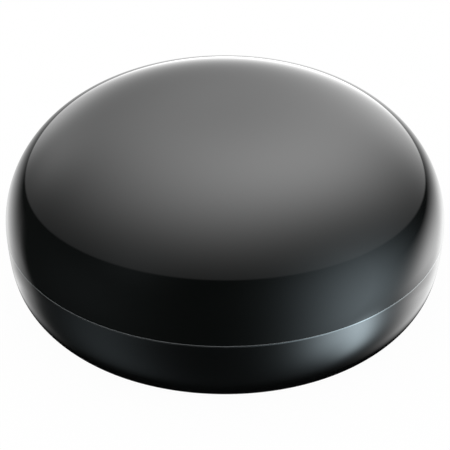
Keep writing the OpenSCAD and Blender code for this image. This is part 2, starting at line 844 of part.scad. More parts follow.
// Plunger held behind the front plate, which rests against the button's stem
module switch_plunger() {
    flange_u = switch_front_u - plunger_gap - plunger_flange_t;
    nub_u = switch_front_u - switch_l * switch_pocket_share + dome_rise + dome_seat_gap
        + button_travel;
    color([0.75, 0.2, 0.15]) {
        on_button_axis(flange_u) bar(plunger_flange_d / 2, plunger_flange_t);
        on_button_axis(nub_u) bar(plunger_d / 2, switch_front_u + frame_t + plunger_l - nub_u);
    }
}

module switch_terminals() {
    color([0.76, 0.76, 0.76]) for (side = [-1, 1])
        on_radius(button_angle, switch_front_u - switch_l - terminal_l)
            translate([0, side * terminal_pitch / 2 - terminal_w / 2, board_top])
                cube([terminal_l, terminal_w, terminal_t]);
}

module voltage_regulator() {
    color([0.07, 0.07, 0.07])
        translate([regulator_place.x, regulator_place.y, board_top + regulator_stand])
            block(regulator_size);
}

// Three leads on one side of the regulator and its tab on the other
module regulator_leads() {
    reach = (regulator_size.y + regulator_lead.y) / 2;
    color([0.75, 0.75, 0.75])
        translate([regulator_place.x, regulator_place.y, board_top]) {
            for (i = [-1:1]) translate([i * regulator_pitch, -reach, 0]) block(regulator_lead);
            translate([0, reach, 0])
                block([regulator_tab_w, regulator_lead.y, regulator_lead.z]);
        }
}

module bulk_capacitor() {
    can_z = board_top + capacitor_seat_size.z;
    color([0.78, 0.79, 0.8]) translate([capacitor_place.x, capacitor_place.y, can_z]) {
        cylinder(d = capacitor_d, h = capacitor_h - capacitor_edge);
        translate([0, 0, capacitor_h - capacitor_edge])
            cylinder(d1 = capacitor_d, d2 = capacitor_d - 2 * capacitor_edge, h = capacitor_edge);
    }
}

module capacitor_seat() {
    color([0.08, 0.08, 0.08])
        translate([capacitor_place.x, capacitor_place.y, board_top]) block(capacitor_seat_size);
}

module ceramic_capacitors() {
    color([0.6, 0.47, 0.33]) for (p = chip_capacitor_places)
        translate([p.x, p.y, board_top]) block(chip_capacitor_size);
}

module resistors() {
    color([0.1, 0.1, 0.11]) for (i = [0:resistor_count - 1])
        translate([resistor_x, resistor_first_y + i * resistor_pitch, board_top])
            block(resistor_size);
}

module driver_transistors() {
    color([0.07, 0.07, 0.07]) for (p = transistor_shares)
        translate([board_r * p.x, board_r * p.y, board_top]) block(transistor_size);
}

module protection_diode() {
    color([0.08, 0.08, 0.08]) translate([0, board_r * diode_share, board_top])
        block(diode_size);
}

upper_shell();
lower_shell();
foot_ring();
case_screws();
main_board();
board_screws();
emitter_holder();
side_emitter(1);  // side_emitter_1
side_emitter(2);  // side_emitter_2
side_emitter(3);  // side_emitter_3
side_emitter(4);  // side_emitter_4
side_emitter(5);  // side_emitter_5
side_emitter(6);  // side_emitter_6
top_emitter();
emitter_leads();
receiver_body();
receiver_shield();
receiver_leads();
status_light();
light_pipe();
radio_board();
radio_shield();
radio_chip();
radio_antenna();
socket_shell();
socket_tongue();
socket_contacts();
reset_button();
switch_body();
switch_frame();
switch_dome();
switch_plunger();
switch_terminals();
voltage_regulator();
regulator_leads();
bulk_capacitor();
capacitor_seat();
ceramic_capacitors();
resistors();
driver_transistors();
protection_diode();
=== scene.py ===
import json
import math

import bmesh
import bpy
from bpy.props import FloatProperty, FloatVectorProperty, PointerProperty
from mathutils import Matrix, Vector


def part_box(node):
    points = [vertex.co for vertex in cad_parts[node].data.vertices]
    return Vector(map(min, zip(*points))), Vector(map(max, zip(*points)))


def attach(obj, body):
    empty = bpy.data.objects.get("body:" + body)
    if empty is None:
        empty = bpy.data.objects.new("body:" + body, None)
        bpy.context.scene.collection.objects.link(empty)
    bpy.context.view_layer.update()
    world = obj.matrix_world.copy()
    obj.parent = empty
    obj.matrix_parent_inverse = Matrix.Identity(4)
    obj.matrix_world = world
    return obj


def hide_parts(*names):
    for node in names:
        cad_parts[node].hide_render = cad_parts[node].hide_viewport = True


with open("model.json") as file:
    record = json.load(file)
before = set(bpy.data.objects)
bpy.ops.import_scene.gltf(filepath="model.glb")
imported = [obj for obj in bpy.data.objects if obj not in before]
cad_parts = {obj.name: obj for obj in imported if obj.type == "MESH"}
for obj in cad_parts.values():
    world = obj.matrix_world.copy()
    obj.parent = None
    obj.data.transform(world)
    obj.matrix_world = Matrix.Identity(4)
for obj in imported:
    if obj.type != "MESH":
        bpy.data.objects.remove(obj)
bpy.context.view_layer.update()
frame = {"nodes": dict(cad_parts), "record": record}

bl_info = {
    "name": "Infrared Blaster",
    "version": (1, 0, 0),
    "blender": (4, 5, 0),
    "location": "View3D > Sidebar > Blaster",
    "description": "Dresses the packed infrared blaster: shells, foot, button, inner parts, studio",
    "category": "Object",
}

CAD_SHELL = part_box("upper_shell")
CAD_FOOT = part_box("foot_ring")
MM = 0.001
CLOSE = 1e-6
OFF_CURVE = 2e-3  # how far a vertex may leave the curve's formula and still take its normal
SAME_WAY = 0.99  # cosine of the widest angle between that normal and its face's own
POST_TURNS = (45, 135, 225, 315)
BOARD_SCREW_TURNS = (112, 200, 340)
SHELL_STEPS = 256
FOOT_STEPS = 192
BUTTON_STEPS = 96
HOLE_STEPS = 48


# Sizes, colours and light


def length(description, default):
    """A length in metres."""
    return FloatProperty(description=description, default=default, unit="LENGTH",
                         subtype="DISTANCE", precision=5)


def mm(description, millimetres):
    """A length given in millimetres."""
    return length(description, millimetres * MM)


def plain(description, default):
    """A plain number."""
    return FloatProperty(description=description, default=default, precision=4)


def tint(description, default):
    """A colour."""
    return FloatVectorProperty(description=description, default=default, subtype="COLOR",
                               size=3, min=0, max=1)


def bearing(description, degrees):
    """An angle, given in degrees."""
    return FloatProperty(description=description, default=math.radians(degrees),
                         unit="ROTATION", subtype="ANGLE")


class BlasterBody(bpy.types.PropertyGroup):
    """Sizes of the two shells and the foot ring"""
    radius: length("Radius at the seam", CAD_SHELL[1][0])
    top: length("Height of the dome's top above the floor", CAD_SHELL[1][2])
    seam: mm("Height of the seam above the floor", 10.9)
    bottom: mm("Height of the base's flat underside", 0.6)
    wall: mm("Wall of both shells", 2)
    floor: mm("Thickness of the base's floor", 1.8)
    gap: mm("Width of the seam between the shells", 0.05)
    dome_edge: mm("Radius of the dome's lower edge", 0.04)
    base_edge: mm("Radius of the base's upper edge", 0.05)
    band: mm("Height of the base's polished upper edge", 0.2)
    foot_edge: mm("Radius of the base's bottom edge", 0.25)
    lip_top: mm("Height of the lip inside the seam", 12.4)
    lip: mm("Thickness of the lip", 0.9)
    lip_room: mm("Clearance round the lip", 0.1)
    recess: mm("Radius of the bare recess underneath", 19)
    recess_depth: mm("Depth of the bare recess", 0.3)
    foot_width: mm("Width of the foot ring", 5.8)
    foot_room: mm("Clearance of the foot ring in its groove", 0.1)
    ring_edge: mm("Radius of the foot ring's edges", 0.22)
    inner_edge: mm("Radius of the edges underneath and inside", 0.08)
    across: plain("Exponent of the dome's profile across", 2.95)
    up: plain("Exponent of the dome's profile upwards", 2)
    tuck: plain("Exponent of the base's profile", 3.65)
    tuck_share: plain("Share of its full curve that the base follows", 0.67)
    draft: plain("How far the base's wall draws in per unit of height", 0.03)


class BlasterFixings(bpy.types.PropertyGroup):
    """Sizes of the posts, bosses, ribs and screw holes"""
    circle: mm("Radius of the circle of case screws", 26)
    split: mm("Height at which posts and bosses meet", 8)
    boss: mm("Radius of the dome's bosses", 2.6)
    boss_hole: mm("Radius of the hole in a boss", 1.15)
    boss_hole_top: mm("Height at which a boss's hole ends", 13.9)
    post: mm("Radius of the base's posts", 3.3)
    shank: mm("Radius of a post's hole for the screw's shank", 1.25)
    head: mm("Radius of a post's hole for the screw's head", 2.2)
    head_top: mm("Height at which the head's hole ends", 2.9)
    rib: mm("Thickness of the ribs", 1.2)
    rib_reach: mm("How far a rib reaches out from its post's axis", 4.6)
    board_circle: mm("Radius of the circle of board screws", 22.5)
    standoff: mm("Radius of the board's standoffs", 2.5)
    standoff_top: mm("Height of the board's standoffs", 4.2)
    pilot: mm("Radius of the hole in a standoff", 0.9)
    pilot_low: mm("Height at which a standoff's hole begins", 1.4)
    clear: mm("How far a cutter runs past what it cuts", 1)


class BlasterPorts(bpy.types.PropertyGroup):
    """Sizes of the power port and the reset button"""
    width: mm("Width of the port in the base", 11.4)
    height: mm("Height of the port in the base", 6.4)
    corner: mm("Corner radius of the port", 1.6)
    level: mm("Height of the port's middle", 6.65)
    rim: mm("Radius of the port's outer rim", 0.35)
    start: mm("Distance from the axis at which the port begins", 28.9)
    clear: mm("How far the openings' cutters run past the wall", 1.5)
    run_on: mm("How far a rim's last slope is carried on", 0.2)
    button: mm("Radius of the reset button", 2)
    button_room: mm("Clearance round the reset button", 0.1)
    button_level: mm("Height of the button's axis", 7.1)
    button_rim: mm("Radius of the button hole's rim", 0.2)
    button_proud: mm("How far the button stands out", 0.5)
    button_edge: mm("Radius of the button's edge", 0.3)
    button_turn: bearing("Bearing of the button's axis from +X", 68)
    dish: mm("Depth of the button's dished face", 0.12)
    dish_radius: mm("Radius of the button's dished face", 1.5)
    flange: mm("Distance of the flange's inner face from the axis", 29.2)
    flange_radius: mm("Radius of the button's flange", 2.8)
    flange_depth: mm("Thickness of the button's flange", 0.7)
    stem: mm("Radius of the button's stem", 1.2)
    stem_tip: mm("Distance of the stem's tip from the axis", 26.7)
    inner_edge: mm("Radius of the flange's and the stem's edges", 0.1)


class BlasterFinish(bpy.types.PropertyGroup):
    """Colours and roughness of the outer pieces"""
    dome: tint("Near-black plastic of the dome", (0.0018, 0.0022, 0.0020))
    base: tint("Near-black plastic of the base", (0.0018, 0.0021, 0.0021))
    # Light metallic tint painted on the base's upper edge as a highlight line along the seam; the
    # metal also reflects the studio.
    band: tint("Polished edge along the seam", (0.30, 0.315, 0.32))
    floor: tint("Textured plastic of the recess underneath", (0.013, 0.0135, 0.014))
    foot: tint("Rubber of the foot ring", (0.020, 0.020, 0.021))
    button: tint("Plastic of the reset button", (0.007, 0.0075, 0.008))
    gloss: plain("Roughness of the polished shells", 0.05)
    satin: plain("Roughness of the reset button", 0.26)
    rubber: plain("Roughness of the foot ring", 0.62)
    texture: plain("Roughness of the recess underneath", 0.5)


class BlasterStudio(bpy.types.PropertyGroup):
    """Camera and light"""
    distance: length("Camera's distance from the middle of the seam", 0.198)
    lens: plain("Focal length in millimetres", 104)
    sensor: plain("Width of the sensor in millimetres", 36)
    clip: mm("Nearest distance that the camera sees", 10)
    height: bearing("Camera's angle above the horizon", 32.03)
    droop: bearing("How far the camera aims below the middle of the seam", 0.54)
    fill: plain("Plain light on matte surfaces", 1)
    paper: plain("Share of the floor that is lit paper, against shadow", 0.97)
    # Radii of the shadow disc painted on the floor for glossy rays.
    shadow_in: length("Radius of the floor's full shadow", 0.03135)
    shadow_out: length("Radius at which the floor's shadow ends", 0.03445)
    floor_half: length("Half the width of the floor", 4)
    floor_drop: mm("How far the floor lies below the foot", 0.02)


# Shapes


def body():
    """The sizes of the shells and the foot ring."""
    return bpy.context.scene.blaster_body


def dome_height(radius, wall):
    """Height of the dome at a radius, a given depth inside its skin."""
    sizes = body()
    share = min(radius / (sizes.radius - wall), 1)
    high = sizes.top - sizes.seam - wall
    return sizes.seam + high * (1 - share ** sizes.across) ** (1 / sizes.up)


def dome_radius(height, wall):
    """Radius of the dome at a height, a given depth inside its skin."""
    sizes = body()
    share = (height - sizes.seam) / (sizes.top - sizes.seam - wall)
    return (sizes.radius - wall) * (1 - share ** sizes.up) ** (1 / sizes.across)


def wall_top(sizes):
    """Height at which the base's drafted wall ends and its polished edge begins."""
    return sizes.seam - sizes.gap / 2 - sizes.band


def base_radius(height, wall):
    """Radius of the base at a height, a given depth inside its skin."""
    sizes = body()
    share = sizes.tuck_share * max(sizes.seam - height, 0) / (sizes.seam - sizes.bottom)
    drawn_in = sizes.draft * max(wall_top(sizes) - height, 0)
    return (sizes.radius - wall) * (1 - share ** sizes.tuck) ** (1 / sizes.tuck) - drawn_in


def base_tilt(height):
    """Angle below the horizon that the base's outer wall faces at a height."""
    step = 0.01 * MM
    rise = base_radius(height + step, 0) - base_radius(height - step, 0)
    return math.atan2(rise, 2 * step)


def dome_line(wall, lowest, steps):
    """Points of the dome's profile from a height up to the axis."""
    first = math.asin(dome_radius(lowest, wall) / (body().radius - wall))
    line = []
    for i in range(steps + 1):
        r = (body().radius - wall) * math.sin(first * (1 - i / steps))
        line.append((r, dome_height(r, wall) if i else lowest))
    return line


def base_line(wall, low, high, steps):
    """Points of the base's profile from a low height up to a high one."""
    heights = [low + (high - low) * i / steps for i in range(steps + 1)]
    return [(base_radius(z, wall), z) for z in heights]


def arc(centre, radius, start, end, steps):
    """Points of an arc, with its angles in degrees from the outward horizontal."""
    angles = [math.radians(start + (end - start) * i / steps) for i in range(steps + 1)]
    return [(centre[0] + radius * math.cos(a), centre[1] + radius * math.sin(a)) for a in angles]


def softened(corners, radius, steps=3):
    """A square-cornered line with its corners rounded, apart from its two ends."""
    line = [corners[0]]
    for before, corner, after in zip(corners, corners[1:], corners[2:]):
        here = Vector(corner)
        back = (Vector(before) - here).normalized() * radius
        on = (Vector(after) - here).normalized() * radius
        for i in range(steps + 1):
            turn = math.radians(90) * i / steps
            point = here + back * (1 - math.sin(turn)) + on * (1 - math.cos(turn))
            line.append(tuple(point))
    return line + [corners[-1]]


def outward(bm):
    """Turns every face of a closed solid outwards."""
    bmesh.ops.recalc_face_normals(bm, faces=bm.faces)
    if bm.calc_volume(signed=True) < 0:
        bmesh.ops.reverse_faces(bm, faces=bm.faces)
    return bm


def spun(line, steps=SHELL_STEPS, closed=False):
    """A solid of revolution round Z from a profile of (radius, height) points."""
    bm = bmesh.new()
    verts = [bm.verts.new((r, 0, z)) for r, z in line]
    edges = [bm.edges.new(pair) for pair in zip(verts, verts[1:])]
    if closed:
        edges.append(bm.edges.new((verts[-1], verts[0])))
    bmesh.ops.spin(bm, geom=verts + edges, cent=(0, 0, 0), axis=(0, 0, 1), dvec=(0, 0, 0),
                   angle=math.tau, steps=steps, use_merge=True, use_duplicate=False)
    bmesh.ops.remove_doubles(bm, verts=bm.verts, dist=CLOSE / 10)
    return outward(bm)


def piece_from(bm, name):
    """A mesh object at the origin from a finished bmesh."""
    mesh = bpy.data.meshes.new(name)
    bm.to_mesh(mesh)
    bm.free()
    piece = bpy.data.objects.new(name, mesh)
    bpy.context.scene.collection.objects.link(piece)
    return piece


def combine(piece, bm, how):
    """Adds or cuts a solid and keeps the result as the piece's own mesh."""
    tool = piece_from(bm, "tool")
    tool_mesh = tool.data
    change = piece.modifiers.new(how, "BOOLEAN")
    change.operation = how
    change.solver = "MANIFOLD"
    change.object = tool
    ready = bpy.context.evaluated_depsgraph_get()
    mesh = bpy.data.meshes.new_from_object(piece.evaluated_get(ready))
    bm = bmesh.new()
    bm.from_mesh(mesh)
    bmesh.ops.dissolve_degenerate(bm, dist=CLOSE / 10, edges=bm.edges)
    bm.to_mesh(mesh)
    bm.free()
    old = piece.data
    piece.modifiers.clear()
    piece.data = mesh
    mesh.name = piece.name
    bpy.data.objects.remove(tool)
    for spent in (old, tool_mesh):
        bpy.data.meshes.remove(spent)
    if not mesh.polygons:
        raise RuntimeError(f"{piece.name}: nothing is left after {how}")


def post_rods(fix, radius, low, high):
    """Rods of one radius at the four posts."""
    return around(POST_TURNS, fix.circle, lambda: rod(radius, low, high))


def post_ribs(fix, low, high):
    """The ribs that run outwards from the four posts."""
    reach = fix.circle + fix.rib_reach
    return around(POST_TURNS, 0, lambda: rib(fix.circle, reach, fix.rib, low, high))


def around(turns, out, make):
    """One bmesh with a copy of a shape at each bearing, moved out from the axis."""
    whole = bmesh.new()
    for turn in turns:
        place = Matrix.Rotation(math.radians(turn), 4, "Z") @ Matrix.Translation((out, 0, 0))
        add_copy(whole, make(), place)
    return whole


def add_copy(whole, part, place):
    """Moves a bmesh to its place and joins it to another."""
    bmesh.ops.transform(part, matrix=place, verts=part.verts)
    mesh = bpy.data.meshes.new("copy")
    part.to_mesh(mesh)
    part.free()
    whole.from_mesh(mesh)
    bpy.data.meshes.remove(mesh)


def rod(radius, low, high):
    """A round rod along Z."""
    bm = bmesh.new()
    bmesh.ops.create_cone(bm, cap_ends=True, segments=HOLE_STEPS, radius1=radius,
                          radius2=radius, depth=high - low,
                          matrix=Matrix.Translation((0, 0, (low + high) / 2)))
    return bm


def rib(inner, outer, thickness, low, high, steps=8):
    """A rib along +X, subdivided so that its top can follow the dome."""
    bm = bmesh.new()
    middle = ((inner + outer) / 2, 0, low)
    size = Matrix.Diagonal(((outer - inner) / 2, thickness / 2, 1, 1))
    bmesh.ops.create_grid(bm, x_segments=steps, y_segments=1, size=1,
                          matrix=Matrix.Translation(middle) @ size)
    up = bmesh.ops.extrude_face_region(bm, geom=bm.faces[:], use_keep_orig=True)
    raised = [v for v in up["geom"] if isinstance(v, bmesh.types.BMVert)]
    bmesh.ops.translate(bm, verts=raised, vec=(0, 0, high - low))
    return outward(bm)


def raise_to_dome(bm, low):
    """Lifts the top of each boss or rib into the middle of the dome's wall."""
    for v in bm.verts:
        if v.co.z > low + CLOSE:
            v.co.z = dome_height(v.co.xy.length, body().wall / 2)
    return bm


def smooth_edges(piece, sharp=35):
    """Smooth shading with crisp edges."""
    piece.data.shade_smooth()
    piece.data.set_sharp_from_angle(angle=math.radians(sharp))


def smooth_skin(piece):
    """Smooth shading with exact normals on the two outer curves and crisp edges elsewhere."""
    sizes = body()
    mesh = piece.data
    smooth_edges(piece)
    normals = [Vector(n.vector) for n in mesh.corner_normals]
    for face in mesh.polygons:
        exact = [skin_normal(mesh.vertices[i].co, face.center.z, sizes) for i in face.vertices]
        if all(n is not None and n.dot(face.normal) > SAME_WAY for n in exact):
            for corner, n in zip(face.loop_indices, exact):
                normals[corner] = n
    mesh.normals_split_custom_set(normals)


def skin_normal(at, level, sizes):
    """Outward direction at a point of a face at a level, or None off the outer curves."""
    r = at.xy.length
    if r < CLOSE:
        return Vector((0, 0, 1)) if at.z > sizes.top - CLOSE else None
    level_out = Vector((at.x / r, at.y / r, 0))
    if sizes.seam > level > wall_top(sizes):
        return level_out if abs(r - sizes.radius) < CLOSE else None
    if level > sizes.seam:
        across, share = sizes.across, r / sizes.radius
        high, rise = sizes.top - sizes.seam, (at.z - sizes.seam) / (sizes.top - sizes.seam)
        off = share ** across + rise ** sizes.up - 1
        out = across * share ** (across - 1) / sizes.radius
        lift = sizes.up * rise ** (sizes.up - 1) / high
    else:
        drawn_in = sizes.draft * max(wall_top(sizes) - at.z, 0)
        across, share = sizes.tuck, (r + drawn_in) / sizes.radius
        high, rise = (sizes.seam - sizes.bottom) / sizes.tuck_share, sizes.seam - at.z
        off = share ** across + (rise / high) ** across - 1
        out = across * share ** (across - 1) / sizes.radius
        lift = -across * (rise / high) ** (across - 1) / high - out * sizes.draft
    if abs(off) > OFF_CURVE:
        return None
    return (level_out * out + Vector((0, 0, lift))).normalized()


def opening(corners, turn, level, start, rim, ports, cuts=10, steps=5, swing=75):
    """A plug through the base's wall whose outer end flares into a rounded rim.

    corners is a list of (across, up, across normal, up normal) round the opening. The rim turns
    by the swing in degrees. Past it the plug runs on at the rim's last slope and then straight
    out, clear of the wall."""
    bm = bmesh.new()
    flat = bm.verts.layers.float_vector.new("flat")
    out = bm.verts.layers.float_vector.new("out")
    bmesh.ops.create_circle(bm, cap_ends=False, segments=len(corners), radius=1)
    bm.verts.ensure_lookup_table()
    for v, (s, z, ns, nz) in zip(bm.verts, corners):
        v.co = (s, z, 0)
        v[out] = (ns, nz, 0)
    long = [e for e in bm.edges if e.calc_length() > MM]
    bmesh.ops.subdivide_edges(bm, edges=long, cuts=cuts)
    for v in bm.verts:
        v[flat] = v.co
    bmesh.ops.contextual_create(bm, geom=bm.edges[:])
    angles = [math.radians(swing) * i / steps for i in range(steps + 1)]
    rings = [(rim * (1 - math.cos(a)), rim * (1 - math.sin(a))) for a in angles]
    widen = rings[-1][0] + ports.run_on * math.sin(angles[-1])
    rings += [(widen, rings[-1][1] - ports.run_on * math.cos(angles[-1])), (widen, -ports.clear)]
    for v in bm.verts:
        v.co = (start, v[flat][0], level + v[flat][1])
    end = bm.faces[:]
    for k, (widen, depth) in enumerate(rings):
        grown = bmesh.ops.extrude_face_region(bm, geom=end)["geom"]
        if k:
            bmesh.ops.delete(bm, geom=end, context="FACES_ONLY")
        end = [f for f in grown if isinstance(f, bmesh.types.BMFace)]
        for v in [v for v in grown if isinstance(v, bmesh.types.BMVert)]:
            across = v[flat][0] + widen * v[out][0]
            z = level + v[flat][1] + widen * v[out][1]
            v.co = (math.sqrt(base_radius(z, 0) ** 2 - across ** 2) - depth, across, z)
    bmesh.ops.transform(bm, matrix=Matrix.Rotation(turn, 4, "Z"), verts=bm.verts)
    return outward(bm)


def rounded_corners(width, height, radius, steps=8):
    """Corner points of a rounded rectangle with their outward directions."""
    points = []
    for quarter, (sx, sy) in enumerate(((1, 1), (-1, 1), (-1, -1), (1, -1))):
        for i in range(steps + 1):
            a = math.radians(90 * quarter + 90 * i / steps)
            points.append((sx * (width / 2 - radius) + radius * math.cos(a),
                           sy * (height / 2 - radius) + radius * math.sin(a),
                           math.cos(a), math.sin(a)))
    return points


def circle_corners(radius, steps=HOLE_STEPS):
    """Points of a circle with their outward directions."""
    turns = [math.tau * i / steps for i in range(steps)]
    return [(radius * math.cos(a), radius * math.sin(a), math.cos(a), math.sin(a))
            for a in turns]


# Materials


def wire(tree, value, socket):
    """Links an output to an input socket, or sets the socket's plain value."""
    if isinstance(value, bpy.types.NodeSocket):
        tree.links.new(value, socket)
    else:
        socket.default_value = value


def add_node(tree, kind, **values):
    """A shader node of a kind, with an output or a plain value for each named input."""
    node = tree.nodes.new("ShaderNode" + kind)
    for name, value in values.items():
        wire(tree, value, node.inputs[name.replace("_", " ")])
    return node


def maths(tree, operation, *values, kind="Math"):
    """Result of a maths node."""
    node = add_node(tree, kind)
    node.operation = operation
    for value, socket in zip(values, node.inputs):
        wire(tree, value, socket)
    return node.outputs["Value" if operation in {"DOT_PRODUCT", "LENGTH"} else 0]


def vector_maths(tree, operation, *values):
    """Result of a vector maths node."""
    return maths(tree, operation, *values, kind="VectorMath")


def scaled(tree, colour, factor):
    """A colour times a factor."""
    node = add_node(tree, "VectorMath")
    node.operation = "SCALE"
    wire(tree, colour, node.inputs[0])
    wire(tree, factor, node.inputs["Scale"])
    return node.outputs["Vector"]


def ramp(tree, value, start, end, low=0, high=1, how="LINEAR"):
    """A value mapped from one range to another and held at its ends."""
    node = add_node(tree, "MapRange", Value=value, From_Min=start, From_Max=end,
                    To_Min=low, To_Max=high)
    node.interpolation_type = how
    return node.outputs["Result"]


def mask_mix(tree, mask, first, second, kind="FLOAT"):
    """Two values or colours mixed by a mask."""
    mix = add_node(tree, "Mix")
    mix.data_type = kind
    for value, label in ((mask, "Factor"), (first, "A"), (second, "B")):
        wire(tree, value, mix.inputs[label])
    return mix.outputs["Result"]


def mix_in(tree, socket, mask, value, kind="FLOAT"):
    """Mixes a value by a mask into what already feeds an input socket."""
    wire(tree, mask_mix(tree, mask, socket.links[0].from_socket, value, kind), socket)


def shader_mix(tree, share, first, second):
    """Two shaders mixed by a plain share or a mask."""
    mix = add_node(tree, "MixShader", Fac=share)
    wire(tree, first, mix.inputs[1])
    wire(tree, second, mix.inputs[2])
    return mix.outputs["Shader"]


SOCKETS = {"Vector": "NodeSocketVector", "Towards": "NodeSocketVector",
           "Ray": "NodeSocketVector", "Light": "NodeSocketColor"}


def new_group(name, inputs, outputs):
    """An empty shader node group, whose sockets are plain numbers unless SOCKETS names them."""
    group = bpy.data.node_groups.new(name, "ShaderNodeTree")
    for side, labels in (("INPUT", inputs), ("OUTPUT", outputs)):
        for label in labels.split():
            group.interface.new_socket(name=label, in_out=side,
                                       socket_type=SOCKETS.get(label, "NodeSocketFloat"))
    given = group.nodes.new("NodeGroupInput").outputs
    return group, given, group.nodes.new("NodeGroupOutput").inputs


def place_group(tree, name, **values):
    """A node group in a tree, with an output or a plain value for each named input."""
    node = add_node(tree, "Group")
    node.node_tree = bpy.data.node_groups[name]
    for label, value in values.items():
        wire(tree, value, node.inputs[label])
    return node.outputs


def noise(tree, vector, scale, detail, rough=0.5):
    """Noise at a scale that is a socket or a plain value."""
    return add_node(tree, "TexNoise", Vector=vector, Scale=scale, Detail=detail,
                    Roughness=rough).outputs["Fac"]


SKIN_TURN = (0.9, 0.4, 1.7)
SHEET_STRETCH = (1, 0.06, 1)
STAIN_SCALE = 900
WEAVE_SCALE = 900
TRACK_REPEAT = 0.11
TRACK_EDGE = (0.045, 0.06)
BOARD_ROUGHNESS = (0.28, 0.36)
COPPER_HEIGHT = 12e-6


def group_moulded_skin():
    """Slow tone, slow haze and a fine grain, for plastic, rubber and epoxy."""
    tree, given, result = new_group("Moulded skin", "Vector Cloud Grain", "Tone Haze Height")
    wire(tree, noise(tree, given["Vector"], given["Cloud"], 3), result["Tone"])
    wire(tree, noise(tree, given["Vector"], given["Grain"], 2), result["Height"])
    turned = add_node(tree, "Mapping", Vector=given["Vector"], Rotation=SKIN_TURN)
    wire(tree, noise(tree, turned.outputs["Vector"], given["Cloud"], 4, 0.6), result["Haze"])


def group_rolled_sheet():
    """Fine lines along a sheet and its stains, for metals."""
    tree, given, result = new_group("Rolled sheet", "Vector Fineness", "Lines Stain")
    stretch = add_node(tree, "Mapping", Vector=given["Vector"], Scale=SHEET_STRETCH)
    wire(tree, noise(tree, stretch.outputs["Vector"], given["Fineness"], 2), result["Lines"])
    wire(tree, noise(tree, given["Vector"], STAIN_SCALE, 4, 0.6), result["Stain"])


def group_board_tracks():
    """Copper tracks and woven glass, for circuit boards."""
    tree, given, result = new_group("Board tracks", "Vector Pitch", "Track Weave")
    cells = add_node(tree, "TexVoronoi", Vector=given["Vector"], Scale=given["Pitch"])
    cells.distance = "MANHATTAN"
    bands = maths(tree, "PINGPONG", cells.outputs["Distance"], TRACK_REPEAT)
    wire(tree, ramp(tree, bands, *TRACK_EDGE), result["Track"])
    weave = add_node(tree, "TexWave", Vector=given["Vector"], Scale=WEAVE_SCALE,
                     Distortion=0.6, Detail=1)
    wire(tree, weave.outputs["Fac"], result["Weave"])


def group_soft_light():
    """A round soft light in a direction, for the world."""
    tree, given, result = new_group("Soft light", "Towards Ray Tightness Light", "Light")
    facing = vector_maths(tree, "DOT_PRODUCT", given["Towards"], given["Ray"])
    power = maths(tree, "MULTIPLY", maths(tree, "SUBTRACT", facing, 1), given["Tightness"])
    wire(tree, scaled(tree, given["Light"], maths(tree, "EXPONENT", power)), result["Light"])


def start_material(name):
    """A material with its Principled shader and object coordinates."""
    mat = bpy.data.materials.new(name)
    mat.use_nodes = True
    tree = mat.node_tree
    coords = add_node(tree, "TexCoord").outputs["Object"]
    return mat, tree, tree.nodes["Principled BSDF"].inputs, coords


def drive_colour(tree, shader, mask, dark, light):
    """Base colour between two colours by a mask."""
    mix = mask_mix(tree, mask, (*dark, 1), (*light, 1), "RGBA")
    wire(tree, mix, shader["Base Color"])


def drive_roughness(tree, shader, mask, low, high):
    """Roughness between two values by a mask."""
    wire(tree, ramp(tree, mask, 0, 1, low, high), shader["Roughness"])


def drive_bump(tree, shader, height, depth):
    """Bump from a height mask, with its depth in metres."""
    bump = add_node(tree, "Bump", Strength=1, Distance=depth, Height=height)
    wire(tree, bump.outputs["Normal"], shader["Normal"])


def shade(colour, change):
    """A colour made darker or lighter, up to full."""
    return tuple(min(c * change, 1) for c in colour)


def moulded(name, colour, rough, cloud=120, grain=3000, depth=2e-6, spread=0.12, tone=0.12):
    """Moulded plastic, rubber or epoxy."""
    mat, tree, shader, coords = start_material(name)
    skin = place_group(tree, "Moulded skin", Vector=coords, Cloud=cloud, Grain=grain)
    drive_colour(tree, shader, skin["Tone"], shade(colour, 1 - tone), shade(colour, 1 + tone))
    drive_roughness(tree, shader, skin["Haze"], rough * (1 - spread), rough * (1 + spread))
    drive_bump(tree, shader, skin["Height"], depth)
    return mat


def polished(name, colour):
    """The shells' polished plastic."""
    gloss = bpy.context.scene.blaster_finish.gloss
    return moulded(name, colour, gloss, cloud=90, grain=500, depth=1.5e-7, spread=0.2)


def metal(name, colour, rough, fineness=6000, depth=1e-6):
    """Rolled, plated or drawn metal."""
    mat, tree, shader, coords = start_material(name)
    sheet = place_group(tree, "Rolled sheet", Vector=coords, Fineness=fineness)
    drive_colour(tree, shader, sheet["Stain"], shade(colour, 0.86), shade(colour, 1.06))
    drive_roughness(tree, shader, sheet["Lines"], rough * 0.8, rough * 1.25)
    drive_bump(tree, shader, sheet["Lines"], depth)
    shader["Metallic"].default_value = 1
    return mat


def laminate(name, mask, copper, pitch):
    """Circuit board: solder mask over copper tracks and woven glass."""
    mat, tree, shader, coords = start_material(name)
    tracks = place_group(tree, "Board tracks", Vector=coords, Pitch=pitch)
    drive_colour(tree, shader, tracks["Track"], mask, copper)
    drive_roughness(tree, shader, tracks["Weave"], *BOARD_ROUGHNESS)
    drive_bump(tree, shader, tracks["Track"], COPPER_HEIGHT)
    return mat


def clear(name, colour, rough):
    """Clear or tinted plastic that lets light through."""
    mat, tree, shader, coords = start_material(name)
    skin = place_group(tree, "Moulded skin", Vector=coords, Cloud=200, Grain=2000)
    drive_colour(tree, shader, skin["Tone"], shade(colour, 0.94), shade(colour, 1.04))
    drive_roughness(tree, shader, skin["Haze"], rough * 0.7, rough * 1.3)
    shader["Transmission Weight"].default_value = 1
    return mat


def dress(piece, material):
    """Makes a material the only one of a piece."""
    piece.data.materials.clear()
    piece.data.materials.append(material)


def finish_piece(piece, material, slot, bodyname, *nodes):
    """The calls that every new piece needs."""
    dress(piece, material)
    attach(piece, bodyname)
    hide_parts(*nodes)


# Pieces


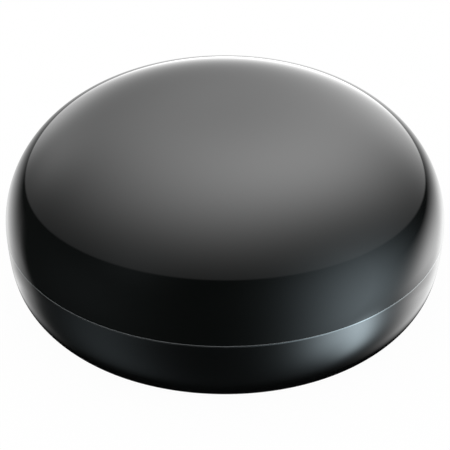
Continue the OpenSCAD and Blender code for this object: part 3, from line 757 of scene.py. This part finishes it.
class BLASTER_OT_dome(bpy.types.Operator):
    """Make the polished dome with its screw bosses"""
    bl_idname = "blaster.make_dome"
    bl_label = "Dome"

    def execute(self, context):
        sizes = body()
        fix = context.scene.blaster_fixings
        piece = piece_from(spun(self.profile(sizes)), "dome")
        ribs = post_ribs(fix, fix.split, sizes.top)
        bosses = post_rods(fix, fix.boss, fix.split, sizes.top)
        holes = post_rods(fix, fix.boss_hole, fix.split - fix.clear, fix.boss_hole_top)
        combine(piece, raise_to_dome(bosses, fix.split), "UNION")
        combine(piece, raise_to_dome(ribs, fix.split), "UNION")
        combine(piece, holes, "DIFFERENCE")
        smooth_skin(piece)
        material = polished("polished_dome", context.scene.blaster_finish.dome)
        finish_piece(piece, material, "dome_plastic", "housing", "upper_shell")
        return {"FINISHED"}

    def profile(self, sizes):
        """Profile from the top, down the outside, round the edge and up the inside."""
        rim = sizes.seam + sizes.gap / 2
        skirt = sizes.radius - sizes.wall + sizes.lip + sizes.lip_room
        e = sizes.dome_edge
        outer = dome_line(0, rim + e, steps=110)[::-1]
        edge = arc((sizes.radius - e, rim + e), e, 0, -90, steps=6)[1:]
        inner = dome_line(sizes.wall, sizes.lip_top, steps=36)
        return outer + edge + [(skirt, rim), (skirt, sizes.lip_top)] + inner


class BLASTER_OT_base(bpy.types.Operator):
    """Make the tucked-in base with its posts, port, button hole and underside"""
    bl_idname = "blaster.make_base"
    bl_label = "Base"

    def execute(self, context):
        sizes = body()
        fix = context.scene.blaster_fixings
        piece = piece_from(spun(self.profile(sizes)), "base")
        foot = sizes.bottom + sizes.floor / 2
        standoffs = around(BOARD_SCREW_TURNS, fix.board_circle,
                           lambda: rod(fix.standoff, foot, fix.standoff_top))
        combine(piece, post_rods(fix, fix.post, foot, fix.split), "UNION")
        combine(piece, post_ribs(fix, foot, fix.split), "UNION")
        combine(piece, standoffs, "UNION")
        combine(piece, self.holes(sizes, fix, context.scene.blaster_ports), "DIFFERENCE")
        smooth_skin(piece)
        finish = context.scene.blaster_finish
        material = polished("polished_base", finish.base)
        self.paint_seam_highlight(material, sizes, finish)
        self.texture_floor(material, sizes, finish)
        finish_piece(piece, material, "base_plastic", "housing", "lower_shell")
        return {"FINISHED"}

    def holes(self, sizes, fix, ports):
        """One bmesh of all that is cut from the base: screw holes, port and button hole."""
        whole = around(POST_TURNS, fix.circle, lambda: self.screw_hole(sizes, fix))
        pilots = around(BOARD_SCREW_TURNS, fix.board_circle,
                        lambda: rod(fix.pilot, fix.pilot_low, fix.standoff_top + fix.clear))
        port = opening(rounded_corners(ports.width, ports.height, ports.corner),
                       math.radians(90), ports.level, ports.start, ports.rim, ports)
        button = opening(circle_corners(ports.button + ports.button_room), ports.button_turn,
                         ports.button_level, ports.flange, ports.button_rim, ports)
        for part in (pilots, port, button):
            add_copy(whole, part, Matrix.Identity(4))
        return whole

    def screw_hole(self, sizes, fix):
        """Counterbore and shank hole of one case screw as a single solid."""
        low = sizes.bottom - fix.clear
        high = fix.split + fix.clear
        return spun([(0, low), (fix.head, low), (fix.head, fix.head_top), (fix.shank, fix.head_top),
                     (fix.shank, high), (0, high)], HOLE_STEPS)

    def paint_seam_highlight(self, material, sizes, finish):
        """A painted highlight: a light metallic tint on the base's polished upper edge makes the
        thin bright line along the seam, and the metal also reflects the studio.
        """
        tree = material.node_tree
        shader = tree.nodes["Principled BSDF"].inputs
        place = add_node(tree, "SeparateXYZ",
                         Vector=tree.nodes["Texture Coordinate"].outputs["Object"])
        soft = 0.01 * MM
        # The band mask paints the highlight tint and full metal onto the upper edge.
        band = ramp(tree, place.outputs["Z"], wall_top(sizes) - soft, wall_top(sizes) + soft)
        mix_in(tree, shader["Base Color"], band, (*finish.band, 1), "RGBA")
        wire(tree, band, shader["Metallic"])

    def texture_floor(self, material, sizes, finish):
        """The fine moulded texture of the recess underneath and of the floor above it."""
        tree = material.node_tree
        shader = tree.nodes["Principled BSDF"].inputs
        coords = tree.nodes["Texture Coordinate"].outputs["Object"]
        out = vector_maths(tree, "LENGTH", vector_maths(tree, "MULTIPLY", coords, (1, 1, 0)))
        soft = 0.1 * MM
        inside = ramp(tree, out, sizes.recess, sizes.recess - soft)
        mix_in(tree, shader["Base Color"], inside, (*finish.floor, 1), "RGBA")
        mix_in(tree, shader["Roughness"], inside, finish.texture)

    def profile(self, sizes):
        """Profile from the middle of the underside, round the outside, to the inner floor."""
        rim = sizes.seam - sizes.gap / 2
        e = sizes.base_edge
        bottom = sizes.bottom
        inner_wall = sizes.radius - sizes.wall
        lip = inner_wall + sizes.lip
        groove_in = CAD_FOOT[1][0] - sizes.foot_width - sizes.foot_room
        groove_out = CAD_FOOT[1][0] + sizes.foot_room
        groove_top = CAD_FOOT[1][2]
        ceiling = bottom + sizes.recess_depth
        floor = bottom + sizes.floor
        low = bottom + sizes.foot_edge
        for _ in range(4):  # where the bottom edge's arc meets the wall, closer each time
            low = bottom + sizes.foot_edge * (1 - math.sin(base_tilt(low)))
        tilt = base_tilt(low)
        centre = (base_radius(low, 0) - sizes.foot_edge * math.cos(tilt), bottom + sizes.foot_edge)
        under = softened([
            (0, ceiling), (sizes.recess, ceiling), (sizes.recess, bottom), (groove_in, bottom),
            (groove_in, groove_top), (groove_out, groove_top), (groove_out, bottom),
            (centre[0], bottom)], sizes.inner_edge)
        corner = arc(centre, sizes.foot_edge, -90, -math.degrees(tilt), steps=10)[1:]
        wall = base_line(0, low, wall_top(sizes), steps=56)[1:]
        edge = arc((sizes.radius - e, rim - e), e, 0, 90, steps=6)
        inside = base_line(sizes.wall, floor, sizes.seam, steps=20)[::-1]
        top = softened([(lip, rim), (lip, sizes.lip_top), (inner_wall, sizes.lip_top), inside[0]],
                       sizes.inner_edge)
        return under + corner + wall + edge + top[:-1] + inside + [(0, floor)]


class BLASTER_OT_foot(bpy.types.Operator):
    """Make the rubber foot ring"""
    bl_idname = "blaster.make_foot"
    bl_label = "Foot ring"

    def execute(self, context):
        sizes = body()
        finish = context.scene.blaster_finish
        outer = CAD_FOOT[1][0]
        inner = outer - sizes.foot_width
        top = CAD_FOOT[1][2]
        middle = (inner + outer) / 2
        line = softened([(middle, 0), (outer, 0), (outer, top), (inner, top), (inner, 0),
                         (middle, 0)], sizes.ring_edge, steps=5)
        piece = piece_from(spun(line[:-1], FOOT_STEPS, closed=True), "foot_band")
        smooth_edges(piece)
        material = moulded("foot_rubber", finish.foot, finish.rubber, cloud=220, grain=5200,
                           depth=1.2e-5, spread=0.15, tone=0.2)
        finish_piece(piece, material, "foot_rubber", "housing", "foot_ring")
        return {"FINISHED"}


class BLASTER_OT_button(bpy.types.Operator):
    """Make the reset button with its flange and stem"""
    bl_idname = "blaster.make_button"
    bl_label = "Reset button"

    def execute(self, context):
        ports = context.scene.blaster_ports
        finish = context.scene.blaster_finish
        bm = spun(self.profile(ports), BUTTON_STEPS)
        bearing_turn = Matrix.Rotation(ports.button_turn, 4, "Z")
        turn = bearing_turn @ Matrix.Rotation(math.radians(90), 4, "Y")
        bmesh.ops.transform(bm, verts=bm.verts,
                            matrix=Matrix.Translation((0, 0, ports.button_level)) @ turn)
        piece = piece_from(bm, "reset_cap")
        smooth_edges(piece)
        material = moulded("button_plastic", finish.button, finish.satin, cloud=400, grain=7000,
                           depth=1.5e-6)
        finish_piece(piece, material, "button_plastic", "button", "reset_button")
        return {"FINISHED"}

    def profile(self, ports):
        """Profile along the button's axis, from its dished face back to the stem's tip."""
        face = base_radius(ports.button_level, 0) + ports.button_proud
        e = ports.button_edge
        back = ports.flange + ports.flange_depth
        ring = 0.4 * MM
        across = [ring * i for i in range(4)] + [ports.dish_radius]
        dish = [(x, face - ports.dish * (1 - (x / ports.dish_radius) ** 2)) for x in across]
        edge = arc((ports.button - e, face - e), e, 90, 0, steps=6)
        rest = softened([
            edge[-1], (ports.button, back), (ports.flange_radius, back),
            (ports.flange_radius, ports.flange), (ports.stem, ports.flange),
            (ports.stem, ports.stem_tip), (0, ports.stem_tip)], ports.inner_edge)
        return dish + edge + rest[1:]


class BLASTER_OT_inner(bpy.types.Operator):
    """Give every carried-over CAD node its material"""
    bl_idname = "blaster.finish_inner"
    bl_label = "Inner parts"

    def execute(self, context):
        black = (0.03, 0.03, 0.032)
        finishes = {
            "screw_steel": metal("bright_steel", (0.62, 0.61, 0.6), 0.24),
            "board_laminate": laminate("green_board", (0.012, 0.075, 0.04), (0.03, 0.16, 0.07),
                                       420),
            "holder_plastic": moulded("holder_plastic", black, 0.45, depth=6e-6),
            "emitter_epoxy": clear("tinted_epoxy", (0.42, 0.36, 0.6), 0.04),
            "lead_metal": metal("tinned_wire", (0.74, 0.74, 0.73), 0.3, 9000),
            "receiver_epoxy": moulded("receiver_epoxy", (0.03, 0.022, 0.045), 0.12),
            "shield_metal": metal("tin_plate", (0.7, 0.7, 0.69), 0.32),
            "status_epoxy": moulded("status_package", (0.82, 0.84, 0.86), 0.3),
            "pipe_acrylic": clear("clear_acrylic", (0.93, 0.96, 0.98), 0.03),
            "radio_laminate": laminate("blue_board", (0.01, 0.03, 0.12), (0.03, 0.07, 0.22), 700),
            "chip_plastic": moulded("chip_package", black, 0.5, grain=9000, depth=8e-6),
            "contact_brass": metal("gilt_contacts", (0.86, 0.66, 0.32), 0.22, 9000),
            "socket_metal": metal("socket_plate", (0.42, 0.42, 0.42), 0.34, 5000),
            "socket_plastic": moulded("socket_insulator", (0.025, 0.025, 0.026), 0.4),
            "switch_plastic": moulded("switch_plastic", (0.04, 0.04, 0.042), 0.42),
            "plunger_plastic": moulded("red_plastic", (0.5, 0.05, 0.035), 0.35),
            "capacitor_metal": metal("aluminium_can", (0.8, 0.8, 0.81), 0.26),
            "capacitor_ceramic": moulded("fired_ceramic", (0.45, 0.32, 0.19), 0.5, tone=0.2),
            "resistor_film": moulded("resistor_glaze", (0.035, 0.035, 0.04), 0.22),
        }
        replaced = {"upper_shell", "lower_shell", "foot_ring", "reset_button"}
        for part in frame["record"]["subparts"]:
            if part["node"] not in replaced:
                dress(frame["nodes"][part["node"]], finishes[part["material_slot"]])
        return {"FINISHED"}


# Stage

# Soft lights of the studio: bearing from the back towards +X, height, half width (all in
# degrees), strength, tint. Each group of them is trimmed by edges: an edge is a direction, as
# bearing and height, the angles from it at which the light has gone and at which it is full,
# and how far the edge's circle is squeezed at the sides.
WHITE = (1, 1, 1)
COOL = (0.77, 0.92, 1)
DAYLIGHT = (0.84, 0.94, 1)
SHEET = (0.7, 69.7, 81.5, 80.3, 0.032)
CARDS = (0, -87.5, 53.2, 51.6, 0)
HORIZON = (0, -90, 84.9, 61.5, 0)
LEFT_SIDE = (24.3, 0, 90, 82, 0)
RIGHT_SIDE = (146, 0, 90, 41, 0)
STUDIO = (
    ((SHEET,), (
        ("lamp behind the sheet", 34.8, 51.9, 27.4, 2.24, WHITE),
        ("middle of the sheet", -6.2, 76.5, 38.3, 2.88, WHITE),
        ("back edge of the sheet", 7.3, -35.8, 17.7, 10.4, WHITE),
        ("right corner of the sheet", 26.9, 6.9, 15.7, 1.21, WHITE),
        ("left corner of the sheet", -23.7, 0.6, 10.8, 0.87, WHITE),
        ("left side of the sheet", -41.8, 20.3, 13.6, 0.58, WHITE))),
    ((CARDS,), (
        ("right floor card", 113.6, -14.2, 14.3, 39.6, COOL),
        ("floor right of the back", 54, -37, 12.4, 0.89, WHITE),
        ("left floor card", -114, -42.7, 16.2, 0.26, COOL),
        ("floor left of the back", -39, -13.5, 14.7, 2.94, WHITE))),
    ((HORIZON,), (
        ("right rear wall", 60, -16.2, 15.6, 3.34, WHITE),
        ("rear wall", 35, -18.8, 10.4, 1, WHITE),
        ("rear floor", 29, -35, 13.3, 1.34, WHITE))),
    ((HORIZON, LEFT_SIDE), (
        ("left rear wall", -41, -18, 13.6, 1.53, WHITE),
        ("left rear floor", -25, -30, 9.5, 0.84, WHITE))),
    ((RIGHT_SIDE,), (
        ("right softbox", 115, 4, 24.6, 1.36, COOL),
        ("foot of the right softbox", 109, -24, 22, 1.62, COOL))),
    ((), (
        ("backdrop", 3.6, -10.8, 14.2, 1.07, WHITE),
        ("upper edge of the right card", 102, -42, 6.5, 2.4, COOL),
        ("left fill", -130, 28, 15, 0.1, DAYLIGHT),
        ("left glow", -116, -9.5, 24.6, 0.08, DAYLIGHT))),
)
DIM = (0.020, 0.022, 0.022)
# Near-black colour of the shadow painted on the floor round the object, which only glossy rays see.
PAINTED_SHADOW = (0.002, 0.002, 0.002, 1)
PAPER = (0.98, 0.98, 0.98, 1)
FULL = (1, 1, 1, 1)


def towards(bearing_deg, height_deg):
    """Unit vector at a bearing from the back (+Y) towards +X and a height."""
    a, e = math.radians(bearing_deg), math.radians(height_deg)
    return Vector((math.sin(a) * math.cos(e), math.cos(a) * math.cos(e), math.sin(e)))


def add_lights(tree, ray, lights):
    """Sum of soft lights."""
    total = (0, 0, 0)
    for name, bearing_deg, height_deg, half_width, strength, colour in lights:
        tightness = math.log(2) / (1 - math.cos(math.radians(half_width)))
        light = place_group(tree, "Soft light", Ray=ray, Tightness=tightness,
                            Towards=towards(bearing_deg, height_deg),
                            Light=(*(c * strength for c in colour), 1))["Light"]
        light.node.label = name
        total = vector_maths(tree, "ADD", light, total)
    return total


def trimmed(tree, ray, light, edges):
    """A light that fades out at each of its edges."""
    for bearing_deg, height_deg, gone, full, squeeze in edges:
        middle = vector_maths(tree, "MULTIPLY_ADD", ray, (-squeeze, 0, 0),
                              towards(bearing_deg, height_deg))
        facing = vector_maths(tree, "DOT_PRODUCT", ray, middle)
        mask = ramp(tree, facing, math.cos(math.radians(gone)), math.cos(math.radians(full)))
        light = scaled(tree, light, mask)
    return light


class BLASTER_OT_stage(bpy.types.Operator):
    """Make the floor, the studio's light and the camera"""
    bl_idname = "blaster.make_stage"
    bl_label = "Stage"

    def execute(self, context):
        for build in (group_moulded_skin, group_rolled_sheet, group_board_tracks, group_soft_light):
            build()
        setup = context.scene.blaster_studio
        self.make_camera(context, setup)
        self.make_world(context, setup)
        self.make_floor(setup)
        context.scene.view_settings.view_transform = "Standard"
        return {"FINISHED"}

    def make_camera(self, context, setup):
        cam = bpy.data.objects.new("camera", bpy.data.cameras.new("camera"))
        context.scene.collection.objects.link(cam)
        middle = Vector((0, 0, body().seam))
        back = Vector((0, -math.cos(setup.height), math.sin(setup.height)))
        cam.location = middle + back * setup.distance
        cam.rotation_euler = (math.radians(90) - setup.height - setup.droop, 0, 0)
        cam.data.lens = setup.lens
        cam.data.sensor_width = setup.sensor
        cam.data.clip_start = setup.clip
        context.scene.camera = cam

    def make_world(self, context, setup):
        """The studio for glossy rays, white for the camera and plain light for matte surfaces."""
        world = bpy.data.worlds.new("studio")
        context.scene.world = world
        world.use_nodes = True
        tree = world.node_tree
        tree.nodes.clear()
        ray = add_node(tree, "TexCoord").outputs["Generated"]
        total = DIM
        for edges, lights in STUDIO:
            light = trimmed(tree, ray, add_lights(tree, ray, lights), edges)
            total = vector_maths(tree, "ADD", light, total)
        fill, paper, studio = (
            add_node(tree, "Background", Color=colour, Strength=strength).outputs[0]
            for colour, strength in ((FULL, setup.fill), (FULL, 1), (total, 1)))
        path = add_node(tree, "LightPath").outputs
        shown = maths(tree, "MAXIMUM", path["Is Camera Ray"], path["Is Transmission Ray"])
        unseen = shader_mix(tree, path["Is Glossy Ray"], fill, studio)
        add_node(tree, "OutputWorld", Surface=shader_mix(tree, shown, unseen, paper))

    def make_floor(self, setup):
        """White paper, clear from below, with a painted near-black shadow disc round the object
        that only glossy rays see.
        """
        bm = bmesh.new()
        bmesh.ops.create_grid(bm, x_segments=8, y_segments=8, size=setup.floor_half,
                              matrix=Matrix.Translation((0, 0, -setup.floor_drop)))
        floor = piece_from(bm, "floor")
        mat = bpy.data.materials.new("white_paper")
        mat.use_nodes = True
        tree = mat.node_tree
        tree.nodes.clear()
        lit = add_node(tree, "Emission", Color=FULL).outputs["Emission"]
        matte = add_node(tree, "BsdfDiffuse", Color=PAPER).outputs["BSDF"]
        # dark is a painted shadow: a near-black emission disc round the object, for glossy rays
        # only.
        dark = add_node(tree, "Emission", Color=PAINTED_SHADOW).outputs["Emission"]
        through = add_node(tree, "BsdfTransparent").outputs["BSDF"]
        place = add_node(tree, "TexCoord").outputs["Object"]
        reach = vector_maths(tree, "LENGTH", place)
        outside = ramp(tree, reach, setup.shadow_in, setup.shadow_out, how="SMOOTHSTEP")
        painted_shadow_for_glossy = shader_mix(tree, outside, dark, through)
        glossy = add_node(tree, "LightPath").outputs["Is Glossy Ray"]
        above = shader_mix(tree, glossy, shader_mix(tree, setup.paper, matte, lit), painted_shadow_for_glossy)
        below = add_node(tree, "NewGeometry").outputs["Backfacing"]
        add_node(tree, "OutputMaterial", Surface=shader_mix(tree, below, above, through))
        floor.data.materials.append(mat)


class BLASTER_PT_panel(bpy.types.Panel):
    """Buttons and values of the blaster"""
    bl_idname = "BLASTER_PT_panel"
    bl_label = "Infrared Blaster"
    bl_space_type = "VIEW_3D"
    bl_region_type = "UI"
    bl_category = "Blaster"

    def draw(self, context):
        for operator in OPERATORS:
            self.layout.operator(operator.bl_idname)
        for group in GROUPS:
            values = getattr(context.scene, "blaster_" + group)
            box = self.layout.box()
            for name in values.bl_rna.properties.keys():
                if name not in {"rna_type", "name"}:
                    box.prop(values, name, text=name.replace("_", " ").capitalize())


GROUPS = {"body": BlasterBody, "fixings": BlasterFixings, "ports": BlasterPorts,
          "finish": BlasterFinish, "studio": BlasterStudio}
OPERATORS = (BLASTER_OT_stage, BLASTER_OT_dome, BLASTER_OT_base, BLASTER_OT_foot,
             BLASTER_OT_button, BLASTER_OT_inner)


def register():
    for cls in (*GROUPS.values(), *OPERATORS, BLASTER_PT_panel):
        bpy.utils.register_class(cls)
    for name, cls in GROUPS.items():
        setattr(bpy.types.Scene, "blaster_" + name, PointerProperty(type=cls))


def unregister():
    for name in GROUPS:
        delattr(bpy.types.Scene, "blaster_" + name)
    for cls in reversed((*GROUPS.values(), *OPERATORS, BLASTER_PT_panel)):
        bpy.utils.unregister_class(cls)


def main():
    register()
    for operator in OPERATORS:
        getattr(bpy.ops.blaster, operator.bl_idname.split(".")[1])()


if __name__ == "__main__":
    main()
